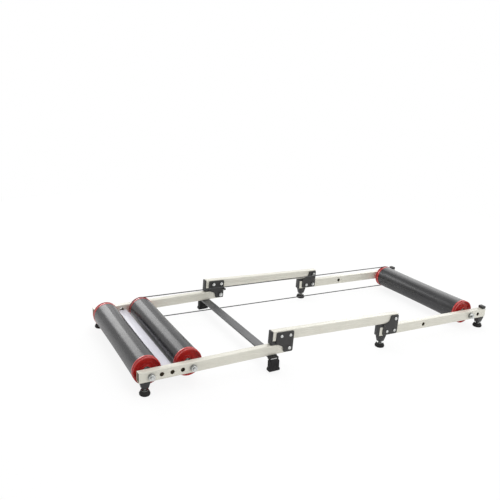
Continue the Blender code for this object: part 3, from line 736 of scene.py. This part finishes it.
drumSettings = {
    "radius": 0.0396, "waist": 0.0013, "half": 0.190, "wall": 0.004, "chamfer": 0.0011, "halfPoints": 8,
    "steps": 112,
}
capSettings = {
    "radius": 0.0403, "start": 0.1903, "face": 0.204, "rim": 0.0031, "dish": 0.194, "dishRadius": 0.0341,
    "groove": 0.1993, "grooveHalf": 0.0030, "grooveFloor": 0.0369, "groovePoints": 8, "grooveShape": 0.8,
    "hub": 0.0145, "hubFace": 0.2015, "seat": 0.0116, "seatDepth": 0.1902, "lip": 0.003, "web": 0.004,
    "spigot": 0.0351, "spigotEnd": 0.1783, "wall": 0.0026, "ledge": 0.0262, "ledgeHeight": 0.0012,
    "draft": 0.0006, "round": 0.0009, "steps": 96,
}
bearingSettings = {
    "radii": (0.0053, 0.0068, 0.0092, 0.0110), "face": 0.1995, "width": 0.0090, "shield": 0.0007,
    "edge": 0.0002, "steps": 64,
}


def makeDrum(s):  # a little thinner in the middle than at its ends
    end, count = s["half"] - s["chamfer"], s["halfPoints"]
    shares = [1 - k / count for k in range(2 * count + 1)]
    barrel = [(s["radius"] - s["waist"] * (1 - share * share), share * end) for share in shares]
    corner = s["radius"] - s["chamfer"]
    bore = s["radius"] - s["wall"]
    return turned([(corner, s["half"]), *barrel, (corner, -s["half"]), (bore, -s["half"]), (bore, s["half"])],
                  s["steps"])


def makeCap(s):
    turns = [math.pi * k / s["groovePoints"] for k in range(s["groovePoints"] + 1)]
    deep = s["radius"] - s["grooveFloor"]
    groove = [(s["radius"] - deep * math.sin(a) ** s["grooveShape"],
               s["groove"] + s["grooveHalf"] * math.cos(a)) for a in turns]
    inner = s["spigot"] - s["wall"]
    back = s["dish"] - s["web"]
    lip = s["seat"] - s["lip"]
    step = s["dish"] + s["ledgeHeight"]
    shape = turned([
        (s["seat"], s["hubFace"]), (s["hub"], s["hubFace"]), (s["hub"] + s["draft"], s["dish"]),
        (s["ledge"], s["dish"]), (s["ledge"] + s["draft"], step), (s["dishRadius"], step),
        (s["radius"] - s["rim"], s["face"]), (s["radius"], s["face"]), *groove, (s["radius"], s["start"]),
        (s["spigot"], s["start"]), (s["spigot"], s["spigotEnd"]), (inner, s["spigotEnd"]), (inner, back),
        (s["hub"], back), (lip, s["seatDepth"] - s["web"]), (lip, s["seatDepth"]),
        (s["seat"], s["seatDepth"])], s["steps"])
    return soften(shape, s["round"], segments=4)


def makeBearing(s):
    bore, inner, outer, radius = s["radii"]
    face, shield, back = s["face"], s["face"] - s["shield"], s["face"] - s["width"]
    shape = turned([(bore, face), (inner, face), (inner, shield), (outer, shield), (outer, face),
                    (radius, face), (radius, back), (bore, back)], s["steps"])
    return soften(shape, s["edge"], angle=40.0)


rollerEnds = ("rear", "middle", "front")
axleSpace = {}
for end in rollerEnds:
    low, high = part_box(end + "_axle")
    axleSpace[end] = shift((low + high) / 2)
    body = end + "_roller"
    finishPiece(makeDrum(drumSettings), body + "_drum", "turned", "charcoal_plastic", body,
                axleSpace[end] @ outwardTurn["left"])
    for side in sideSigns:
        space = axleSpace[end] @ outwardTurn[side]
        finishPiece(makeCap(capSettings), f"{body}_cap_{side}", "moulded", "red_plastic", body, space)
        finishPiece(makeBearing(bearingSettings), f"{body}_bearing_{side}", "ground", "bright_zinc", body,
                    space)
print("rollers made")

# Axles: threaded rod with, from each end, a nut, a washer, a lock nut and a spacer

axleSettings = {
    "radius": 0.0050, "reach": 0.251, "threadFrom": 0.2100, "bore": 0.0048, "crown": 0.0011, "steps": 32,
    "nuts": ((0.0098, 0.0080, 0.2379), (0.0098, 0.0112, 0.2045)),
    "rings": ((0.0100, 0.2363, 0.0015), (0.0070, 0.1998, 0.0045)),
}


def makeAxle(s):
    half = threaded(s["radius"], 0.0, s["reach"], s["threadFrom"])[:-1]
    return turned([*half, *[(radius, -height) for radius, height in reversed(half)]], s["steps"], ring=False)


def axleHardware(s):  # a nut has its radius, height and start, a ring its radius, start and height
    nuts = [hexNut(radius, height, s["bore"], s["crown"], start) for radius, height, start in s["nuts"]]
    return together(nuts + [washer(radius, s["bore"], start, height) for radius, start, height in s["rings"]])


for end in rollerEnds:
    body = "front_frame" if end == "front" else "rear_frame"
    finishPiece(makeAxle(axleSettings), end + "_axle", "rod", "bright_zinc", body,
                axleSpace[end] @ outwardTurn["left"], smooth=25.0)
    for side in sideSigns:
        finishPiece(axleHardware(axleSettings), end + "_axle", "nuts_" + side, "bright_zinc", body,
                    axleSpace[end] @ outwardTurn[side], replaced=False)
print("axles made")

# End fittings: moulded plugs, rest pads, bumpers and foot sockets

fittingSettings = {
    "width": 0.020, "edge": 0.0014, "capPlate": 0.0040, "railEdge": 0.0153, "railHalf": 0.015, "gap": 0.0003,
    "plug": (0.0164, 0.0264), "plugEdge": 0.0005, "plugLength": 0.026, "setBack": 0.0030,
    "tail": 0.0567, "padReach": 0.0120, "pads": {"middle": (-0.02675, -1), "front": (0.02539, 1)},
    "plugTo": {"middle": -0.0417, "front": -0.0307},
    "bumperTop": 0.0247, "bumperLength": 0.0150, "bumperNeck": 0.0035, "bumperEdge": 0.0022,
    "neck": 0.0058, "taper": 0.66, "sunk": 0.004, "bore": 0.0046, "boreTop": 0.0475,
    "nutRoom": (0.0057, 0.0022), "footHeight": 0.0142,
}
socketSettings = {  # place along the rail, width, and how far the screw is out
    "rear_foot": (-0.439, 0.0285, 0.0055), "centre_foot": (-0.041, 0.029, 0.0048),
    "front_foot": (0.406, 0.029, 0.0028),
}
f = fittingSettings
tail = -f["tail"] - f["gap"]  # where the caps of both tails begin


def slab(low, high, zLow, zHigh, edge=f["edge"], width=f["width"], foot=1.0):  # lies across the rail
    return block((low, -width / 2, zLow), (high, width / 2, zHigh), edge, foot)


def plug(low, high):
    width, height = f["plug"]
    return slab(low, high, -height / 2, height / 2, f["plugEdge"], width)


def rearEnd(section):
    start = railRuns[section]["low"]
    return [plug(start + f["setBack"], start + f["plugLength"])]


def tailEnd(section):  # a cap on the tube, a pad below or above the tube, and the plug
    face, up = f["pads"][section]
    start, past = tail - f["capPlate"], f["padReach"] - f["tail"]
    return [slab(start, tail, *sorted((face, -up * f["railHalf"]))),
            slab(start, past, *sorted((face, up * f["railEdge"]))),
            plug(tail - f["capPlate"] / 2, f["plugTo"][section])]


def frontEnd(section):
    reach, length = railRuns[section]["high"], f["bumperLength"]
    return [plug(reach - f["plugLength"], reach),
            rod(f["bumperNeck"], 0.0, f["railEdge"] + f["sunk"], (reach - length / 2, 0)),
            slab(reach - length, reach, f["railEdge"], f["bumperTop"], f["bumperEdge"])]


def footSocket(out, width, screwOut, space):  # tapered block, and the neck that goes up into the rail
    footPlace = space @ Vector((out, 0, 0))
    low = (space.inverted() @ Vector((footPlace.x, 0, f["footHeight"] + screwOut))).z
    holder = slab(out - width / 2, out + width / 2, low, -f["railEdge"], foot=f["taper"])
    return [holder, rod(f["neck"], -f["railEdge"] - f["sunk"], 0.0, (out, 0))]


def studBores(foot, side, space):  # a bore for the screw, wider below, where the raised foot's nut goes in
    low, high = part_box(f"{foot}_{side}")
    spot = ((low.x + high.x) / 2, (low.y + high.y) / 2)
    radius, depth = f["nutRoom"]
    roomTop = f["footHeight"] + socketSettings[foot][-1] + depth
    return [rod(size, 0.0, top, spot, turn=space.inverted())
            for size, top in ((f["bore"], f["boreTop"]), (radius, roomTop))]


def makeFitting(shapes, section, name, foot=None):
    for side in sideSigns:
        space = railSpace[section, side]
        first, *others = shapes(section)
        if foot:
            others += footSocket(*socketSettings[foot], space)
        shape = joined(first, others) if others else first
        if foot:
            shape = joined(shape, studBores(foot, side, space), "DIFFERENCE")
        finishPiece(shape, f"{name}_{side}", "moulded", "black_plastic", section + "_frame", space)


makeFitting(rearEnd, "rear", "rear_end_fitting", "rear_foot")
makeFitting(tailEnd, "middle", "middle_tail_fitting")
makeFitting(tailEnd, "front", "front_tail_fitting", "centre_foot")
makeFitting(frontEnd, "front", "front_end_fitting", "front_foot")
print("end fittings made")

# Round feet: rubber bells on threaded studs, each with a plated washer and a thin lock nut

footSettings = {
    "height": 0.0142, "stud": 0.0039, "studTop": 0.0425, "sunk": 0.0006, "thread": (0.00125, 0.0005),
    "nut": (0.0052, 0.0020), "plate": (0.0104, 0.0006), "bite": 0.0003, "crown": 0.0007, "nutGap": 0.0001,
    "steps": 64, "studSteps": 24, "edge": 0.0003,
    "bell": ((0, 0.0138), (0.0061, 0.0138), (0.0065, 0.0142), (0.0104, 0.0142), (0.0116, 0.0132),
             (0.0124, 0.0110), (0.0135, 0.0090), (0.0144, 0.0074), (0.0150, 0.0060), (0.0152, 0.0042),
             (0.0149, 0.0020), (0.0142, 0.0007), (0.0132, 0), (0.0107, 0), (0.0097, 0.0008), (0, 0.0008)),
}


def footRubber(s):
    return soften(turned(s["bell"], s["steps"], ring=False), s["edge"], angle=40.0)


def footStud(s):
    radius, height = s["nut"]
    wide, thin = s["plate"]
    low, bore = s["height"] - s["sunk"], s["stud"] - s["bite"]
    screw = turned([*threaded(s["stud"], low, s["studTop"], s["height"], *s["thread"]), (0, low)],
                   s["studSteps"], ring=False)
    return together([screw, washer(wide, bore, s["height"], thin),
                     hexNut(radius, height, bore, s["crown"], s["height"] + thin + s["nutGap"])])


for foot in socketSettings:
    for side in sideSigns:
        node = f"{foot}_{side}"
        low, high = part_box(node)
        space = shift(((low.x + high.x) / 2, (low.y + high.y) / 2, low.z))
        body = node + "_screw"
        finishPiece(footRubber(footSettings), node, "rubber", "black_rubber", body, space)
        finishPiece(footStud(footSettings), node, "stud", "bright_zinc", body, space, 25.0, replaced=False)
print("round feet made")

# Crossbars of the rear section

barSettings = {  # finish, place along the rails, reach to either side, and top
    "dark_crossbar": ("grey_steel", -0.0545, 0.2511, -0.0153),
    "pale_crossbar": ("pale_steel", -0.364, 0.2157, -0.0015),
}
barSize = {"width": 0.030, "thickness": 0.005, "edge": 0.0007, "endFront": 0.0100, "endFrom": 0.2370}


def makeBar(s, node, look, at, reach, top):
    half, room = s["width"] / 2, s["thickness"] * 2
    bar = block((at - half, -reach, top - s["thickness"]), (at + half, reach, top), s["edge"])
    if node == "dark_crossbar":  # its ends are cut narrower where they enter the block feet
        near, far = at + s["endFront"], at + s["width"]
        cuts = [block((near, min(y, z), top - room), (far, max(y, z), top + room), 0)
                for y, z in ((-s["endFrom"], -reach * 2), (s["endFrom"], reach * 2))]
        bar = joined(bar, cuts, "DIFFERENCE")
    finishPiece(bar, node, "rolled", look, "rear_frame", hingeSpace["rear"])


for node, values in barSettings.items():
    makeBar(barSize, node, *values)

# Block feet: rubber pushed on to the ends of the dark crossbar, with a window that shows the bar's end

blockSettings = {
    "depth": 0.0155, "side": 0.252, "at": -0.0545, "barTop": -0.0153, "bar": (0.0153, 0.0056, 0.2513),
    "barGap": 0.0003, "wall": 0.0015, "window": (-0.0148, 0.0072, 0.0026), "floorGap": 0.005, "edge": 0.0008,
    "flare": ((0.01725, 0.0), (0.01825, 0.004), (0.01765, 0.008), (0.01525, 0.010)), "body": 0.01525,
    "neck": 0.01350, "sleeve": 0.0165, "sleeveLift": 0.0004, "front": 0.0118, "shelf": -0.0218,
    "neckHeight": 0.005,
    "ribs": 5, "ribWidth": 0.0015, "ribPitch": 0.00549, "ribFrom": 0.0130, "ribTo": 0.0035, "ribSteps": 12,
}


def blockFoot(s, bottom, sign):
    top, shelf, ledge = s["barTop"] + s["wall"], s["shelf"], s["shelf"] - s["neckHeight"]
    flank = [*[(x, bottom + z) for x, z in s["flare"]], (s["body"], ledge)]
    front = [*flank, (s["front"], shelf), (s["front"], top)]
    rear = [*flank, (s["neck"], ledge), (s["neck"], shelf), (s["sleeve"], shelf + s["sleeveLift"]),
            (s["sleeve"], top)]
    outline = [*front, *[(-x, z) for x, z in reversed(rear)]]
    shape = flatFace([(sign * x, z) for x, z in outline], s["depth"])
    thicken(shape, s["depth"])
    soften(shape, s["edge"], segments=3, angle=25.0)
    half, thickness, reach = s["bar"]
    middle = s["barTop"] - thickness / 2 + s["barGap"]
    end = reach - s["side"] + s["depth"] / 2
    low, high, height = s["window"]
    cuts = []
    for a, b, yLow, yHigh, rise, edge in (
            (-half, s["front"] - s["wall"], -s["depth"], end, thickness / 2, 0),
            (low, high, 0, s["depth"], height / 2, s["edge"])):  # the bar's slot, and the window
        a, b = sorted((sign * a, sign * b))
        cuts.append(block((a, yLow, middle - rise), (b, yHigh, middle + rise), edge))
    for k in range(s["ribs"]):  # a row of upright flutes in the outer face
        x = (k - (s["ribs"] - 1) / 2) * s["ribPitch"]
        cuts.append(rod(s["ribWidth"] / 2, bottom + s["ribFrom"], ledge - s["ribTo"], (x, s["depth"] / 2),
                        s["ribSteps"]))
    return joined(shape, cuts, "DIFFERENCE")


def placeBlockFoot(s, side, sign):
    node = "block_foot_" + side
    low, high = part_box(node)
    bottom = (hingeSpace["rear"].inverted() @ Vector(((low.x + high.x) / 2, 0, s["floorGap"]))).z
    outward = Matrix.Rotation(0 if sign > 0 else math.pi, 4, "Z")
    finishPiece(blockFoot(s, bottom, sign), node, "rubber", "black_rubber", "rear_frame",
                hingeSpace["rear"] @ shift((s["at"], sign * (s["side"] - s["depth"] / 2), 0)) @ outward)


for side, sign in sideSigns.items():
    placeBlockFoot(blockSettings, side, sign)
print("crossbars and block feet made")

# Drive belt: a round cord in the left grooves, which bends at both hinges of the trainer. It is made here in
# two lengths, not attached to the frame

beltSettings = {
    "radius": 0.0017, "line": 0.0392, "place": 0.1993, "bend": 0.055, "meet": 0.020, "pitch": 0.006,
    "turnSteps": 40, "roundness": 3, "smooth": 50.0,
    "lengths": (
        {"roller": "middle", "start": math.pi / 2, "hinge": "rear_fold", "away": -1,
         "bodies": ("middle_frame", "rear_frame"), "name": "drive_belt_rear_length"},
        {"roller": "front", "start": -math.pi / 2, "hinge": "front_fold", "away": 1,
         "bodies": ("middle_frame", "front_frame"), "name": "drive_belt_front_length"},
    ),
}


def beltTurn(s, axis, start):  # half a turn round one roller
    turns = [start + math.pi * k / s["turnSteps"] for k in range(s["turnSteps"] + 1)]
    return [axis + Vector((math.cos(a), 0, math.sin(a))) * s["line"] for a in turns]


def beltRun(s, a, b):  # points between two ends, without them
    count = max(2, round((b - a).length / s["pitch"]))
    return [a.lerp(b, k / count) for k in range(1, count)]


def cordShape(s, path):
    curve = bpy.data.curves.new("cord", "CURVE")
    curve.dimensions = "3D"
    curve.bevel_depth = s["radius"]
    curve.bevel_resolution = s["roundness"]
    curve.use_fill_caps = True
    spline = curve.splines.new("POLY")
    spline.points.add(len(path) - 1)
    for point, spot in zip(spline.points, path):
        point.co = (spot.x, s["place"], spot.z, 1.0)
    cord = bpy.data.objects.new("cord", curve)
    scene.collection.objects.link(cord)
    shape = bmesh.new()
    shape.from_mesh(evaluatedMesh(cord))
    bpy.data.objects.remove(cord, do_unlink=True)
    bmesh.ops.remove_doubles(shape, verts=shape.verts, dist=mergeWithin)
    return shape


def makeBelt(s):
    axes = {end: axleSpace[end].translation for end in ("middle", "front")}
    span = axes["front"] - axes["middle"]
    slope = math.atan2(span.z, span.x)
    for length in s["lengths"]:
        line = beltTurn(s, axes[length["roller"]], slope + length["start"])
        first, last = (spot + span * ((s["meet"] - spot.x) / span.x) for spot in (line[0], line[-1]))
        path = [first, *beltRun(s, first, line[0]), *line, *beltRun(s, line[-1], last), last]
        piece = asObject(cordShape(s, path), length["name"])
        dress(piece, "belt_rubber", s["smooth"])
        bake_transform(piece)
        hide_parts("drive_belt")


makeBelt(beltSettings)

# Belt peg: a pin with a head, standing inward from the left rear hinge plate

pegSettings = {
    "at": (0.008, 0, 0.024), "edge": 0.0004, "steps": 40,
    "profile": ((0, 0.2124), (0.0052, 0.2124), (0.0052, 0.2112), (0.00328, 0.2106), (0.00328, 0.1973),
                (0.0040, 0.1967), (0.0040, 0.1949), (0, 0.1949)),
}


def beltPeg(s):
    return soften(turned(s["profile"], s["steps"], ring=False), s["edge"], segments=3, angle=40.0)


finishPiece(beltPeg(pegSettings), "belt_peg", "pin", "black_steel", "middle_frame",
            hingeSpace["middle"] @ shift(pegSettings["at"]) @ outwardTurn["left"])
print("belt and peg made")

# Stage: a pale floor that keeps the shadow, a white surround and soft lamps

stageSettings = {
    "floor": {"Base Color": (0.96, 0.96, 0.96, 1.0), "Roughness": 0.9, "Specular IOR Level": 0.0},
    "half": 25.0, "white": 0.87, "fade": (1.0, 2.4), "mirrored": 0.25, "worldLevels": (0.62, 0.88),
}
lampSettings = {  # place, aim, size and power
    "overhead": ((0.1, 0.0, 2.4), (0.0, 0.0, 0.0), (2.6, 1.4), 27.0),
    "front": ((2.1, -4.9, 2.75), (0.3, 0.1, 0.05), (3.6, 2.8), 38.0),
    "back": ((-0.79, 2.2, 1.28), (-0.54, 0.0, 0.06), (1.3, 0.75), 13.0),
    "screen": ((-0.5, 2.4, 0.66), (-0.5, 0.0, 0.40), (1.8, 1.2), 5.5),
    "side": ((1.6, 1.9, 2.1), (0.57, 0.0, 0.05), (1.8, 1.2), 12.0),
    "window": ((2.2, 1.65, 1.1), (0.57, 0.0, 0.05), (1.2, 1.6), 8.0),
}
plainWhite = (1, 1, 1, 1)


def seenRays(tree):  # camera rays, and rays that come by a mirror or through glass
    ray = put(tree, "ShaderNodeLightPath")
    return ray["Is Camera Ray"], calc(tree, "MAXIMUM", ray["Is Glossy Ray"], ray["Is Transmission Ray"])


def makeFloor(s):
    shape = bmesh.new()
    bmesh.ops.create_grid(shape, x_segments=2, y_segments=2, size=s["half"])
    floor = asObject(shape, "floor")
    material = newMaterial("stageFloor", s["floor"])
    tree = material.node_tree
    camera, mirrored = seenRays(tree)
    share = calc(tree, "MAXIMUM", times(tree, camera, s["white"]), times(tree, mirrored, s["mirrored"]))
    place = put(tree, "ShaderNodeTexCoord")["Object"]
    away = put(tree, "ShaderNodeVectorMath", {0: place}, operation="LENGTH")["Value"]
    share = calc(tree, "MAXIMUM", share, times(tree, stretch(tree, away, *s["fade"]), camera))
    white = put(tree, "ShaderNodeEmission", {"Color": plainWhite, "Strength": 1.0})[0]
    paint = tree.nodes["Principled BSDF"].outputs[0]
    mixed = put(tree, "ShaderNodeMixShader", {0: share, 1: paint, 2: white})[0]
    tree.links.new(mixed, tree.nodes["Material Output"].inputs["Surface"])
    floor.data.materials.append(material)
    floor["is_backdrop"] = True


def makeWorld(s):
    scene.world = bpy.data.worlds.new("surround")
    scene.world.use_nodes = True
    tree = scene.world.node_tree
    camera, mirrored = seenRays(tree)
    level = stretch(tree, mirrored, 0.0, 1.0, *s["worldLevels"])
    shade = tree.nodes["Background"].inputs
    shade["Color"].default_value = plainWhite
    tree.links.new(calc(tree, "MAXIMUM", level, camera), shade["Strength"])


def makeLamp(name, place, aim, size, power):
    data = bpy.data.lights.new(name, "AREA")
    data.shape = "RECTANGLE"
    data.size, data.size_y = size
    data.energy = power
    away = Vector(place) - Vector(aim)
    item = bpy.data.objects.new(name, data)
    item.matrix_world = shift(place) @ away.to_track_quat("Z", "Y").to_matrix().to_4x4()
    scene.collection.objects.link(item)


makeFloor(stageSettings)
makeWorld(stageSettings)
for name, values in lampSettings.items():
    makeLamp(name, *values)
scene.view_settings.view_transform = "Standard"
print("stage made")

low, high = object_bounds()
print("visual size:", [round(1000 * (b - a), 1) for a, b in zip(low, high)], "mm")
